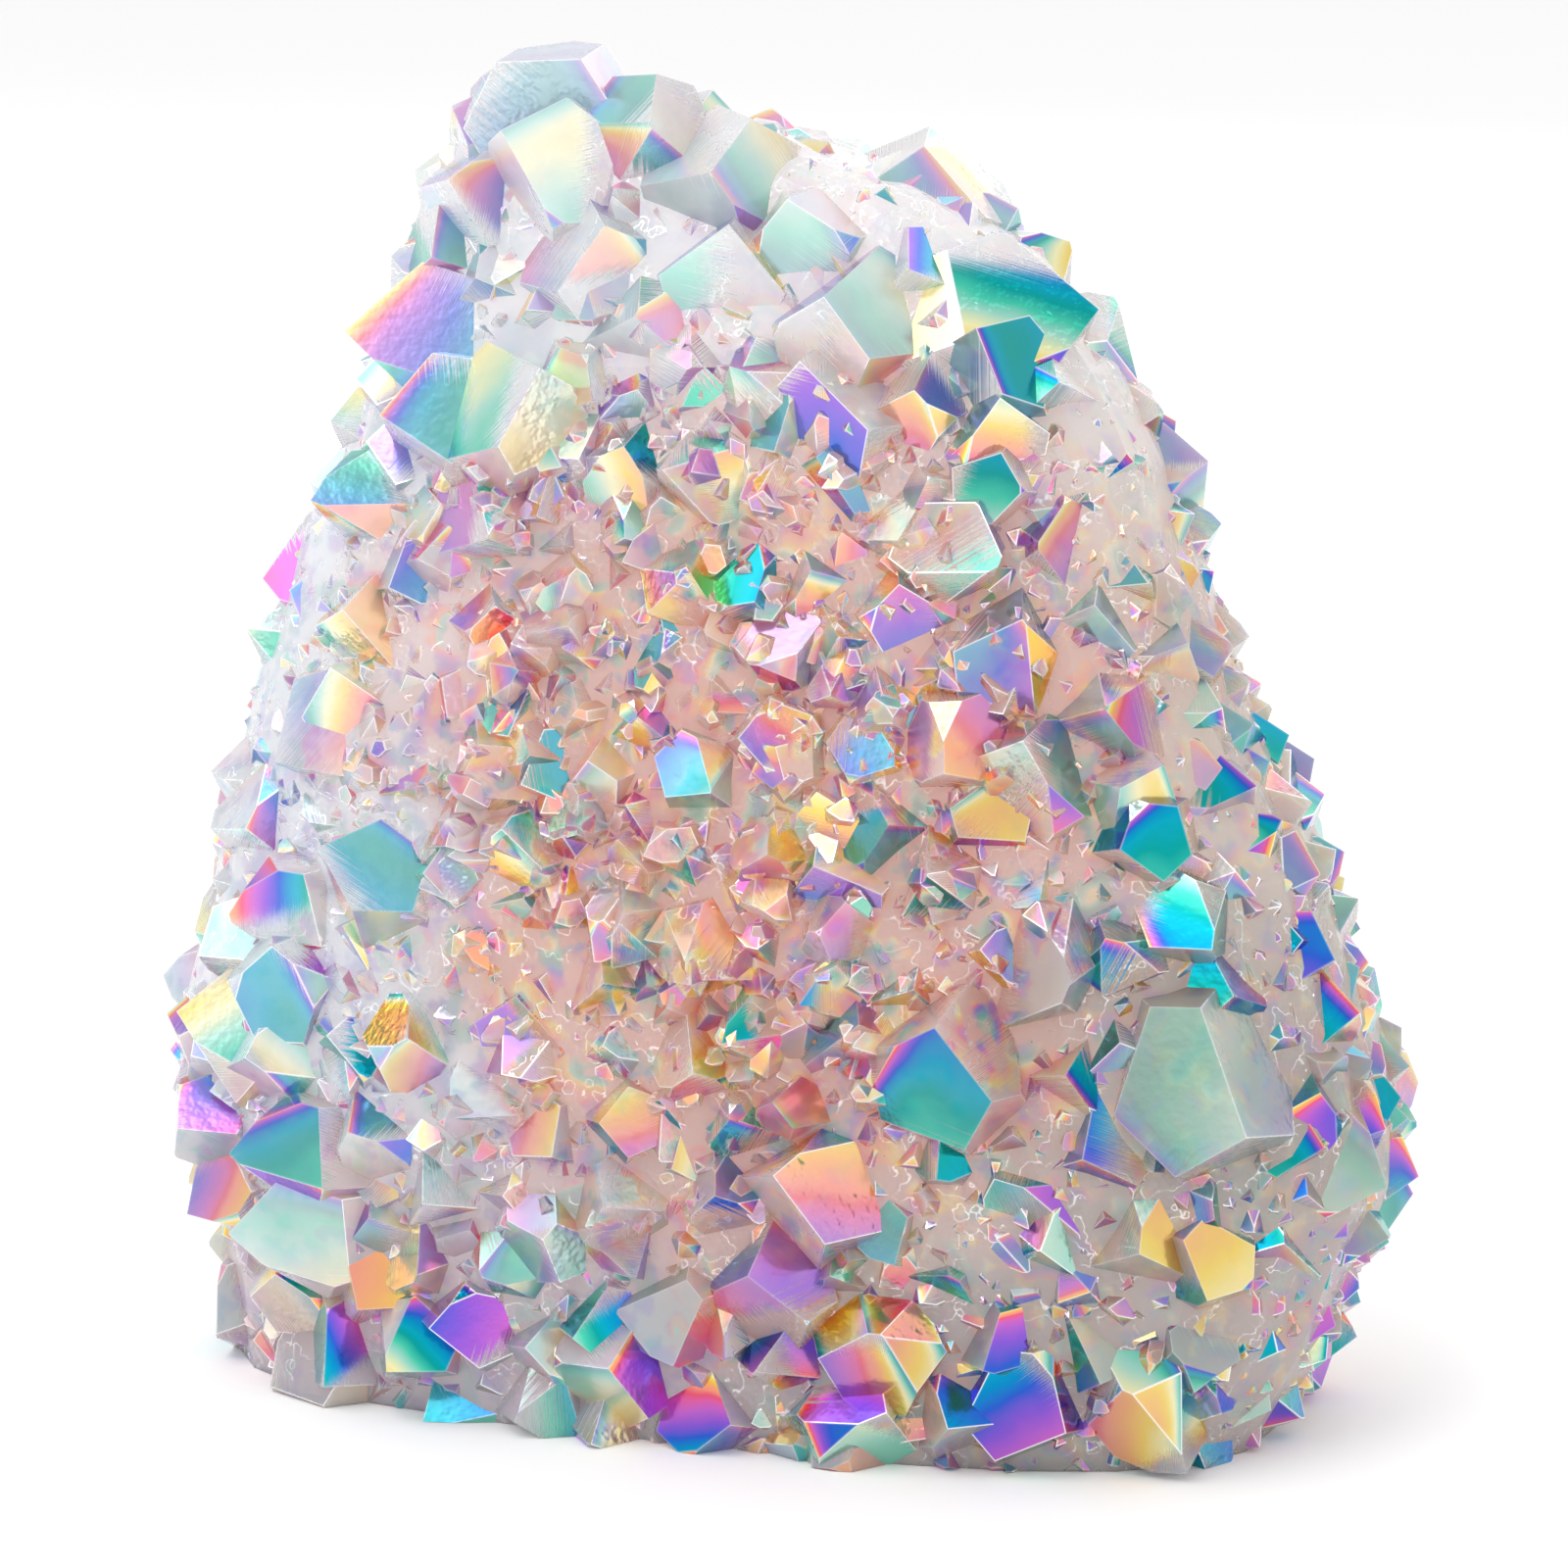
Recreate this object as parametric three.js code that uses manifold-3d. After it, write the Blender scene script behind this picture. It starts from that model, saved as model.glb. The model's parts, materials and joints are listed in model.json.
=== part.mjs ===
// Aura quartz cluster: an upright slab of natural quartz, overgrown with short six-sided
// crystals and sawn flat below so that it stands by itself. Millimetres, +Z up. The origin is
// in the middle of the sawn base, the slab's width runs along X, and its crystal face looks
// towards -Y.
import * as THREE from "three";
import { mergeVertices } from "three/addons/utils/BufferGeometryUtils.js";
import Module from "manifold-3d";

// ---- The slab under the crystals -------------------------------------------------------------

// One row for each level: height, left edge, right edge, front and back.
const LEVELS = [
  [0, -50, 45, -21, 21],
  [10, -51, 50, -22, 22],
  [22, -55, 54, -23, 23],
  [30, -55, 54, -23, 23],
  [41, -52, 50, -22, 22],
  [50, -50, 47, -21, 21],
  [58, -48, 43, -20, 20],
  [66, -46, 39, -18, 19],
  [75, -43, 36, -16, 18],
  [83, -39, 33, -14, 17],
  [91, -36, 29, -12, 15],
  [100, -33, 22, -9, 13],
  [106, -31, 12, -7, 11],
  [110, -29, -2, -5, 9],
  [112, -28, -14, -3, 7],
];
const CREST = [-22, 2, 113]; // the slab's highest point
const SQUARENESS = 0.7; // 1 gives an elliptical section, and less a boxier one
const SIDES = 24; // faces round the slab
const LUMPS = { depth: 1.6, round: 5, slant: 0.11, climb: 0.16 }; // waves on the back
const SAW_BLOCK = { width: 200, height: 40 }; // what the cut below takes away

// ---- The crystals ----------------------------------------------------------------------------

// The forms of the crystals on the face, and of the lower ones round the rims and at the back:
// how far a crystal may lean away from the skin's own direction, how far its shoulder lies above
// the skin, and how high its point rises over the shoulder. The last two are shares of the
// crystal's radius, at the least and at the most.
const FACE_FORM = { lean: 0.5, shoulder: [-0.5, 0], rise: [0.8, 1.4] };
const RIM_FORM = { lean: 0.3, shoulder: [-0.85, -0.4], rise: [0.75, 1.2] };
const FACE_TURN = -0.8; // the skin belongs to the face where its direction's y is under this
const BACK_TURN = 0.5; // and to the back where it is over this
const ROOT_DEPTH = 2.2; // length of the prism below its foot, over its radius
const FLATS = [0.82, 1.12]; // distance of a prism's flats from its axis, over the radius
const STEEPNESS = 1.15; // fall of a point's face from the axis out, over the rise

// A point has three leading faces and three lesser ones between them. Each stands off from the
// place where an even point would have it, by a share of the rise: the more, the smaller it is.
const LEADING = [-0.3, 0.15];
const LESSER = [0.05, 0.85];

// The room that the lesser crystals have to themselves: least in the middle of the face, more
// towards the rims, and most at the back.
const REACH = 0.85; // a crystal's radius over its room
const FACE_ROOM = 7.5;
const RIM_ROOM = 9.5;
const BACK_ROOM = 14;
const ROOM_SPREAD = [0.8, 1.2]; // how far the rooms vary, as shares
const MIDDLE = { x: -4, z: 56 }; // the middle of the close growth, and how far it reaches
const MIDDLE_REACH = { x: 34, z: 40 };
const TRIES = 6000; // places tried, evenly strewn over the skin
const TOP = 112; // the highest place tried
const STRIDES = [0.7548776662466927, 0.5698402909980532]; // steps that fill a square evenly

// The eye that the places of the chief crystals are given for: how far it stands round to the
// right, how far it looks down, and the height that it looks at.
const EYE_TURN = THREE.MathUtils.degToRad(18);
const EYE_RAISE = THREE.MathUtils.degToRad(12);
const EYE_HEIGHT = 53.5;
const PLACE_ROUNDS = 12; // rounds that settle how deep such a place lies

// The chief crystals of the face, from the top down. Each is given as it shows to that eye:
// the distance across and up from the middle, and the crystal's radius.
const CHIEF = [
  // the crown
  [-19.8, 52.0, 6.5], [-5.4, 51.0, 6.5], [-9.1, 58.7, 3.5], [8.7, 49.6, 6.5], [-15.7, 45.5, 5.5],
  [-26.4, 50.4, 5.0], [-28.9, 46.3, 4.0], [15.3, 43.8, 5.5], [10.7, 43.0, 4.0], [23.1, 39.7, 7.0],
  // the upper face
  [-31.4, 38.0, 6.0], [-28.9, 30.6, 6.0], [-21.5, 32.2, 6.5], [-16.5, 33.9, 3.0], [17.4, 35.5, 5.0],
  [5.0, 38.8, 6.0], [10.3, 31.8, 5.0], [17.4, 30.6, 4.5], [28.9, 32.2, 5.0], [17.4, 26.0, 4.0],
  [28.9, 24.8, 8.0], [-0.4, 28.9, 4.0], [-36.4, 24.4, 5.0], [-34.7, 28.1, 5.0],
  // the middle
  [-42.1, 16.9, 4.5], [-36.0, 14.0, 5.0], [-32.2, 16.9, 4.0], [-43.0, 11.2, 4.5], [-37.6, 7.9, 4.5],
  [2.5, 16.5, 4.0], [-15.7, 1.2, 3.5], [-6.2, 0.0, 4.0], [14.5, 2.1, 4.5], [19.4, -4.1, 4.5],
  [28.1, -5.4, 4.5], [29.3, -0.4, 4.0], [37.2, -0.8, 7.5], [43.4, -4.1, 4.5], [8.3, -3.3, 4.0],
  [-35.5, -7.4, 5.0], [-45.5, -4.1, 5.0],
  // the lower face
  [-15.3, -16.5, 4.0], [-47.5, -14.5, 4.5], [-42.6, -16.5, 5.0], [-44.2, -23.6, 4.5],
  [-50.0, -29.8, 4.5], [-42.1, -31.8, 5.0], [-48.8, -36.4, 4.0], [-36.4, -29.8, 5.0],
  [-31.4, -21.9, 4.0], [-19.8, -30.2, 4.0], [-14.5, -28.1, 4.0], [2.5, -33.5, 6.5],
  [-9.1, -32.2, 3.5], [13.6, -23.1, 7.0], [23.1, -24.0, 4.0], [35.5, -25.6, 8.0],
  [33.1, -12.0, 4.5], [35.5, -16.5, 5.0], [42.3, -12.0, 5.0], [47.5, -14.9, 4.0],
  [45.5, -18.2, 7.0], [43.6, -26.0, 4.5], [52.1, -29.3, 4.5], [49.6, -33.1, 6.5],
  [44.2, -30.2, 5.0], [43.0, -34.3, 4.5],
  // the foot
  [-41.3, -38.8, 5.5], [-43.4, -43.8, 4.5], [-34.7, -37.6, 4.5], [-19.8, -39.7, 4.0],
  [-31.8, -48.8, 4.5], [-38.4, -49.2, 4.5], [-26.9, -46.7, 4.5], [-20.5, -48.3, 4.0],
  [-16.1, -46.3, 4.5], [-13.6, -49.6, 5.5], [8.3, -46.7, 5.5], [28.8, -38.4, 5.0],
  [35.1, -40.5, 4.5], [40.9, -38.8, 5.5], [46.0, -41.7, 5.0], [41.7, -47.9, 5.0],
  [38.4, -47.1, 4.5], [40.5, -53.7, 6.0], [31.4, -53.7, 5.0], [21.9, -52.5, 6.0],
  [14.0, -52.9, 5.0], [7.4, -53.7, 5.5], [-5.0, -53.7, 5.5],
];

const SEED = 4;

// ---- Repeatable chance -----------------------------------------------------------------------

// A linear congruential sequence: the same draws on every machine.
class Dice {
  constructor(seed) {
    this.state = seed >>> 0;
  }

  // The next number from 0 up to 1.
  roll() {
    this.state = (Math.imul(this.state, 1664525) + 1013904223) >>> 0;
    return this.state / 4294967296;
  }

  // The next number from low up to high.
  between(low, high) {
    return low + (high - low) * this.roll();
  }
}

// ---- The slab's surface ----------------------------------------------------------------------

// The slab's middle and half widths at a height, read off LEVELS in straight steps.
function levelAt(z) {
  let i = 1;
  while (i < LEVELS.length - 1 && LEVELS[i][0] < z) i += 1;
  const [low, high] = [LEVELS[i - 1], LEVELS[i]];
  const share = Math.min(Math.max((z - low[0]) / (high[0] - low[0]), 0), 1);
  const [left, right, front, back] = [1, 2, 3, 4].map((k) => low[k] + share * (high[k] - low[k]));
  return {
    x: (left + right) / 2,
    y: (front + back) / 2,
    halfWidth: (right - left) / 2,
    halfDepth: (back - front) / 2,
  };
}

// A cosine or sine whose curve is pushed out towards a box's corners.
function boxed(value) {
  return Math.sign(value) * Math.abs(value) ** SQUARENESS;
}

// The point of the slab's skin at an angle round it (0 is +X, a quarter turn is the back).
function skin(angle, z) {
  const level = levelAt(z);
  const wave = Math.sin(LUMPS.round * angle + LUMPS.slant * z) * Math.cos(LUMPS.climb * z);
  const lump = LUMPS.depth * Math.max(Math.sin(angle), 0) * wave;
  return new THREE.Vector3(
    level.x + level.halfWidth * boxed(Math.cos(angle)),
    level.y + level.halfDepth * boxed(Math.sin(angle)) + lump,
    z,
  );
}

// The skin's outward direction at a place, from a short way round it and a short way up it.
function outward(angle, z) {
  const [turn, climb] = [0.05, 2];
  const round = skin(angle + turn, z).sub(skin(angle - turn, z));
  const rise = skin(angle, z + climb).sub(skin(angle, z - climb));
  return round.cross(rise).normalize();
}

// The angle at which the skin's front has a given x, kept just short of the slab's two edges.
function frontAngle(x, z) {
  const level = levelAt(z);
  const edge = 0.99;
  const share = Math.min(Math.max((x - level.x) / level.halfWidth, -edge), edge);
  return -Math.acos(Math.sign(share) * Math.abs(share) ** (1 / SQUARENESS));
}

// The place on the skin's front that shows to the eye at a distance across and up from the
// middle. The front's depth there isn't known at first, so it is found in a few rounds.
function placeSeen(across, up) {
  let depth = 0;
  let angle = 0;
  let z = 0;
  for (let round = 0; round < PLACE_ROUNDS; round += 1) {
    const x = (across - depth * Math.sin(EYE_TURN)) / Math.cos(EYE_TURN);
    const slope = (x * Math.sin(EYE_TURN) - depth * Math.cos(EYE_TURN)) * Math.sin(EYE_RAISE);
    z = Math.min(Math.max(EYE_HEIGHT + (up + slope) / Math.cos(EYE_RAISE), 1), TOP);
    angle = frontAngle(x, z);
    depth = 0.5 * (depth + skin(angle, z).y);
  }
  return { angle, z };
}

// ---- Solids ----------------------------------------------------------------------------------

const TOLERANCE = 1e-7;

const wasm = await Module();
wasm.setup();

// A closed three.js geometry as a manifold-3d solid.
function solidOf(geometry) {
  const bare = geometry.clone();
  bare.deleteAttribute("normal");
  bare.deleteAttribute("uv");
  const merged = mergeVertices(bare, 1e-4);
  return new wasm.Manifold(
    new wasm.Mesh({
      numProp: 3,
      vertProperties: merged.attributes.position.array,
      triVerts: new Uint32Array(merged.index.array),
    }),
  );
}

// A manifold-3d solid as a three.js geometry.
function geometryOf(solid) {
  const mesh = solid.getMesh();
  return new THREE.BufferGeometry()
    .setAttribute("position", new THREE.BufferAttribute(mesh.vertProperties, 3))
    .setIndex(new THREE.BufferAttribute(mesh.triVerts, 1));
}

// A geometry from points and the faces between them.
function facets(points, faces) {
  return new THREE.BufferGeometry().setFromPoints(points).setIndex(faces);
}

// The slab: a ring of SIDES points on each level, closed by the sawn base and by the crest.
function slab() {
  const heights = LEVELS.map((row) => row[0]);
  const points = heights.flatMap((z) =>
    Array.from({ length: SIDES }, (_, i) => skin((i / SIDES) * 2 * Math.PI, z)),
  );
  const base = points.push(new THREE.Vector3(0, 0, 0)) - 1;
  const crest = points.push(new THREE.Vector3(...CREST)) - 1;
  const top = (heights.length - 1) * SIDES;
  const faces = [];
  for (let i = 0; i < SIDES; i += 1) {
    const next = (i + 1) % SIDES;
    faces.push(base, next, i, crest, top + i, top + next);
    for (let ring = 0; ring < top; ring += SIDES) {
      const [low, lowNext] = [ring + i, ring + next];
      faces.push(low, lowNext, lowNext + SIDES, low, lowNext + SIDES, low + SIDES);
    }
  }
  return facets(points, faces);
}

// The point where three planes meet, or nothing where two of them run side by side.
function meeting(a, b, c) {
  const bc = b.normal.clone().cross(c.normal);
  const ca = c.normal.clone().cross(a.normal);
  const ab = a.normal.clone().cross(b.normal);
  const volume = a.normal.dot(bc);
  if (Math.abs(volume) < TOLERANCE) return null;
  const sum = bc.multiplyScalar(-a.constant);
  return sum.addScaledVector(ca, -b.constant).addScaledVector(ab, -c.constant).divideScalar(volume);
}

// The convex solid that lies within a set of planes. Its corners are the points where three
// planes meet and which none of the others cuts off, and each plane that keeps three corners or
// more holds a face, whose corners are put in order round its middle.
function hewn(planes) {
  const corners = [];
  const on = planes.map(() => []); // the numbers of the corners on each plane
  for (let i = 0; i < planes.length; i += 1) {
    for (let j = i + 1; j < planes.length; j += 1) {
      for (let k = j + 1; k < planes.length; k += 1) {
        const corner = meeting(planes[i], planes[j], planes[k]);
        if (!corner || planes.some((plane) => plane.distanceToPoint(corner) > TOLERANCE)) continue;
        const number = corners.push(corner) - 1;
        [i, j, k].forEach((plane) => on[plane].push(number));
      }
    }
  }
  const faces = planes.flatMap((plane, number) => {
    const ring = on[number];
    if (ring.length < 3) return [];
    const middle = new THREE.Vector3();
    ring.forEach((n) => middle.addScaledVector(corners[n], 1 / ring.length));
    const ahead = corners[ring[0]].clone().sub(middle);
    const left = plane.normal.clone().cross(ahead);
    const turn = (n) => {
      const spoke = corners[n].clone().sub(middle);
      return Math.atan2(spoke.dot(left), spoke.dot(ahead));
    };
    ring.sort((m, n) => turn(m) - turn(n));
    return ring.slice(2).flatMap((n, m) => [ring[0], ring[m + 1], n]);
  });
  return facets(corners, faces);
}

// One crystal: a six-sided prism rooted in the slab, under a point of up to six sloping faces.
// Each flat has its own distance from the axis and each sloping face its own height, so that
// some faces grow large at the cost of their neighbours.
function crystal({ foot, axis, spin, radius, flats, shoulder, rise, heights }) {
  const side = new THREE.Vector3(0, 0, 1).cross(axis).normalize();
  const up = axis.clone().cross(side);
  // The plane whose normal points out at a turn round the axis and along it, in that measure,
  // and on which the same measure of a place comes to a height.
  const plane = (out, turn, along, height) => {
    const normal = axis.clone().multiplyScalar(along);
    normal.addScaledVector(side, out * Math.cos(turn)).addScaledVector(up, out * Math.sin(turn));
    const length = normal.length();
    normal.divideScalar(length);
    return new THREE.Plane(normal, -height / length - normal.dot(foot));
  };
  const turns = flats.map((_, i) => spin + (i * Math.PI) / 3);
  const top = (i) => shoulder + radius * rise * (1 + heights[i]);
  return hewn([
    ...turns.map((turn, i) => plane(1, turn, 0, radius * flats[i])),
    ...turns.map((turn, i) => plane(STEEPNESS * rise, turn, 1, top(i))),
    plane(0, 0, -1, ROOT_DEPTH * radius),
  ]);
}

// ---- Where the crystals grow -----------------------------------------------------------------

// The mean room of a lesser crystal, by where its foot stands and which way the skin looks there.
// The crown is thin, so the back's crystals get smaller towards it.
function roomAt(foot, axis) {
  const across = (foot.x - MIDDLE.x) / MIDDLE_REACH.x;
  const along = (foot.z - MIDDLE.z) / MIDDLE_REACH.z;
  const away = Math.min(across * across + along * along, 1);
  const back = Math.min(BACK_ROOM, levelAt(foot.z).halfDepth);
  return axis.y > BACK_TURN ? back : FACE_ROOM + (RIM_ROOM - FACE_ROOM) * away;
}

// One crystal at a place on the skin, with its lean, turn and uneven form drawn by chance.
function grow(dice, angle, z, radius) {
  const foot = skin(angle, z);
  const axis = outward(angle, z);
  const form = axis.y < FACE_TURN ? FACE_FORM : RIM_FORM;
  const lean = new THREE.Vector3(dice.between(-1, 1), dice.between(-1, 1), dice.between(-1, 1));
  axis.addScaledVector(lean, form.lean).normalize();
  const six = (range) => Array.from({ length: 6 }, (_, i) => dice.between(...range(i)));
  return {
    foot,
    axis,
    radius,
    rise: dice.between(...form.rise),
    spin: dice.between(0, Math.PI / 3),
    shoulder: radius * dice.between(...form.shoulder),
    flats: six(() => FLATS),
    heights: six((i) => (i % 2 ? LESSER : LEADING)),
  };
}

// Every crystal: first the chief ones, and then as many lesser ones as find room.
function crystals() {
  const dice = new Dice(SEED);
  const made = CHIEF.map(([across, up, radius]) => {
    const { angle, z } = placeSeen(across, up);
    return grow(dice, angle, z, radius);
  });
  for (let n = 1; n <= TRIES; n += 1) {
    const angle = 2 * Math.PI * ((n * STRIDES[0]) % 1);
    const z = TOP * ((n * STRIDES[1]) % 1);
    const foot = skin(angle, z);
    const radius = REACH * roomAt(foot, outward(angle, z)) * dice.between(...ROOM_SPREAD);
    const reach = (other) => (0.5 * (radius + other.radius)) / REACH;
    const crowded = made.some((other) => other.foot.distanceTo(foot) < reach(other));
    if (!crowded) made.push(grow(dice, angle, z, radius));
  }
  return made;
}

// ---- The cluster -----------------------------------------------------------------------------

// The slab and its crystals grown together in one solid, sawn off flat at height 0.
function cluster() {
  const grown = crystals().map((one) => solidOf(crystal(one)));
  const whole = wasm.Manifold.union([solidOf(slab()), ...grown]);
  const block = new THREE.BoxGeometry(SAW_BLOCK.width, SAW_BLOCK.width, SAW_BLOCK.height);
  const waste = solidOf(block.translate(0, 0, -SAW_BLOCK.height / 2));
  return geometryOf(whole.subtract(waste));
}

const material = new THREE.MeshStandardMaterial({ color: 0xd9c4c2, roughness: 0.2, metalness: 0.1 });
const mesh = new THREE.Mesh(cluster(), material);
mesh.name = "crystal_cluster";
const group = new THREE.Group();
group.add(mesh);

export default group;
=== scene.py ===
"""The looks of an aura quartz cluster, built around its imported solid.

The cluster is an upright slab of milky quartz. Short six-sided crystals grow out of it, and a
thin film of metal gives many of their faces the colours of a soap bubble. The slab, its
crystals of three sizes and the sawn base are worked out as arrays in millimetres, grown
together into one closed mesh, and dressed with one material that reads the mesh's attributes.
"""

import json
import logging
import math
from dataclasses import dataclass, field
from enum import Enum
from itertools import combinations

import bpy
import numpy as np
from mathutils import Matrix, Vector
from mathutils.bvhtree import BVHTree

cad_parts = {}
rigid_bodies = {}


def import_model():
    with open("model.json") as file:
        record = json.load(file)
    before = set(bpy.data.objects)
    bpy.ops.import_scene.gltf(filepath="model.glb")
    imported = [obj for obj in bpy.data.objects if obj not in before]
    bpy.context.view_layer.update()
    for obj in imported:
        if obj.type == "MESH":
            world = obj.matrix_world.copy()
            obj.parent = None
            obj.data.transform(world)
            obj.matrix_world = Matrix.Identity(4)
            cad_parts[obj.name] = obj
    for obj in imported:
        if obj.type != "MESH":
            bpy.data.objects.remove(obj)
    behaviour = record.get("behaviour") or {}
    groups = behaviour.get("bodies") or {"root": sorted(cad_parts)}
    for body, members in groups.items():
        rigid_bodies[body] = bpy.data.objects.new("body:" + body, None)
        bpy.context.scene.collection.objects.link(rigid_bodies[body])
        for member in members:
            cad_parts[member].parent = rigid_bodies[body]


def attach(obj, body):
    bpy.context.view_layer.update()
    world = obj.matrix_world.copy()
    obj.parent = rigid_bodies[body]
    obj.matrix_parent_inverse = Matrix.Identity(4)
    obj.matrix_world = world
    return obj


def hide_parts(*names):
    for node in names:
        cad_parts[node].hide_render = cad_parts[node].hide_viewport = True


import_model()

MM = 0.001
log = logging.getLogger("aura_quartz")

# The eye that the chief crystals' places are given for, and where the camera stands.
EYE_TURN = math.radians(18)
EYE_RAISE = math.radians(12)
EYE_HEIGHT = 53.5


class Tone(Enum):
    """The colour that a face's film shows, as a place along the film's ramp of colours."""

    MINT = 0.03
    TEAL = 0.16
    BLUE = 0.32
    VIOLET = 0.44
    MAGENTA = 0.55
    SALMON = 0.66
    ORANGE = 0.74
    YELLOW = 0.83
    CREAM = 0.93


class Facet(Enum):
    """The facet numbers of what isn't a crystal."""

    SLAB = -1
    SAWN = -2


# The chief crystals of the face, from the top down: distance across and up from the middle as
# they show to the eye, radius, and the film's tones on the face that looks out most and on the
# next one.
M, T, B, V, P, S, O, Y, C = Tone
CHIEF: list[tuple[float, float, float, Tone, Tone]] = [
    # the crown
    (-19.8, 52.0, 6.5, C, T), (-5.4, 51.0, 6.5, M, V), (-9.1, 58.7, 3.5, C, T),
    (8.7, 49.6, 6.5, T, M), (-15.7, 45.5, 5.5, S, T), (-26.4, 50.4, 5.0, V, P),
    (-28.9, 46.3, 4.0, T, V), (15.3, 43.8, 5.5, Y, T), (10.7, 43.0, 4.0, V, B),
    (23.1, 39.7, 7.0, T, B),
    # the upper face
    (-31.4, 38.0, 6.0, V, T), (-28.9, 30.6, 6.0, T, P), (-21.5, 32.2, 6.5, S, C),
    (-16.5, 33.9, 3.0, Y, O), (17.4, 35.5, 5.0, Y, T), (5.0, 38.8, 6.0, T, M),
    (10.3, 31.8, 5.0, Y, S), (17.4, 30.6, 4.5, Y, V), (28.9, 32.2, 5.0, M, B),
    (17.4, 26.0, 4.0, T, T), (28.9, 24.8, 8.0, M, T), (-0.4, 28.9, 4.0, Y, M),
    (-36.4, 24.4, 5.0, T, S), (-34.7, 28.1, 5.0, V, M),
    # the middle
    (-42.1, 16.9, 4.5, B, V), (-36.0, 14.0, 5.0, O, V), (-32.2, 16.9, 4.0, B, T),
    (-43.0, 11.2, 4.5, T, M), (-37.6, 7.9, 4.5, C, Y), (2.5, 16.5, 4.0, O, C),
    (-15.7, 1.2, 3.5, T, M), (-6.2, 0.0, 4.0, O, T), (14.5, 2.1, 4.5, S, S),
    (19.4, -4.1, 4.5, Y, B), (28.1, -5.4, 4.5, T, M), (29.3, -0.4, 4.0, Y, Y),
    (37.2, -0.8, 7.5, M, T), (43.4, -4.1, 4.5, V, T), (8.3, -3.3, 4.0, T, T),
    (-35.5, -7.4, 5.0, T, V), (-45.5, -4.1, 5.0, V, T),
    # the lower face
    (-15.3, -16.5, 4.0, Y, T), (-47.5, -14.5, 4.5, T, M), (-42.6, -16.5, 5.0, T, M),
    (-44.2, -23.6, 4.5, C, T), (-50.0, -29.8, 4.5, B, V), (-42.1, -31.8, 5.0, T, V),
    (-48.8, -36.4, 4.0, P, O), (-36.4, -29.8, 5.0, V, T), (-31.4, -21.9, 4.0, S, M),
    (-19.8, -30.2, 4.0, S, O), (-14.5, -28.1, 4.0, O, C), (2.5, -33.5, 6.5, S, T),
    (-9.1, -32.2, 3.5, Y, Y), (13.6, -23.1, 7.0, M, T), (23.1, -24.0, 4.0, T, Y),
    (35.5, -25.6, 8.0, M, C), (33.1, -12.0, 4.5, T, T), (35.5, -16.5, 5.0, T, T),
    (42.3, -12.0, 5.0, T, V), (47.5, -14.9, 4.0, B, B), (45.5, -18.2, 7.0, T, B),
    (43.6, -26.0, 4.5, T, V), (52.1, -29.3, 4.5, B, V), (49.6, -33.1, 6.5, M, T),
    (44.2, -30.2, 5.0, T, O), (43.0, -34.3, 4.5, B, V),
    # the foot
    (-41.3, -38.8, 5.5, M, T), (-43.4, -43.8, 4.5, V, T), (-34.7, -37.6, 4.5, Y, C),
    (-19.8, -39.7, 4.0, Y, M), (-31.8, -48.8, 4.5, T, V), (-38.4, -49.2, 4.5, V, T),
    (-26.9, -46.7, 4.5, V, T), (-20.5, -48.3, 4.0, C, Y), (-16.1, -46.3, 4.5, T, M),
    (-13.6, -49.6, 5.5, V, M), (8.3, -46.7, 5.5, O, S), (28.8, -38.4, 5.0, C, Y),
    (35.1, -40.5, 4.5, Y, V), (40.9, -38.8, 5.5, T, V), (46.0, -41.7, 5.0, T, P),
    (41.7, -47.9, 5.0, T, V), (38.4, -47.1, 4.5, T, V), (40.5, -53.7, 6.0, M, Y),
    (31.4, -53.7, 5.0, O, Y), (21.9, -52.5, 6.0, V, O), (14.0, -52.9, 5.0, B, V),
    (7.4, -53.7, 5.5, B, V), (-5.0, -53.7, 5.5, V, M),
]


class Dice:
    """A linear congruential sequence, which gives the same draws as the solid's own source."""

    def __init__(self, seed: int) -> None:
        """Starts the sequence at a seed."""
        self.state = seed

    def roll(self) -> float:
        """Returns the next number from 0 up to 1."""
        self.state = (self.state * 1664525 + 1013904223) % 2**32
        return self.state / 2**32

    def between(self, low: float, high: float) -> float:
        """Returns the next number from low up to high."""
        return low + (high - low) * self.roll()


def unit(vectors: np.ndarray) -> np.ndarray:
    """Returns vectors, along the last axis, at length 1."""
    return vectors / np.maximum(np.linalg.norm(vectors, axis=-1, keepdims=True), 1e-12)


def toward(turn: float, rise: float) -> np.ndarray:
    """Returns the direction towards an eye that stands turned from -Y and raised, in radians."""
    flat = math.cos(rise)
    return np.array([math.sin(turn) * flat, -math.cos(turn) * flat, math.sin(rise)])


def link(mesh: bpy.types.Mesh, into: bpy.types.Collection | None = None) -> bpy.types.Object:
    """Returns a new object for a mesh, linked into a collection or else into the scene."""
    thing = bpy.data.objects.new(mesh.name, mesh)
    (into or bpy.context.scene.collection).objects.link(thing)
    return thing


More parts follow.
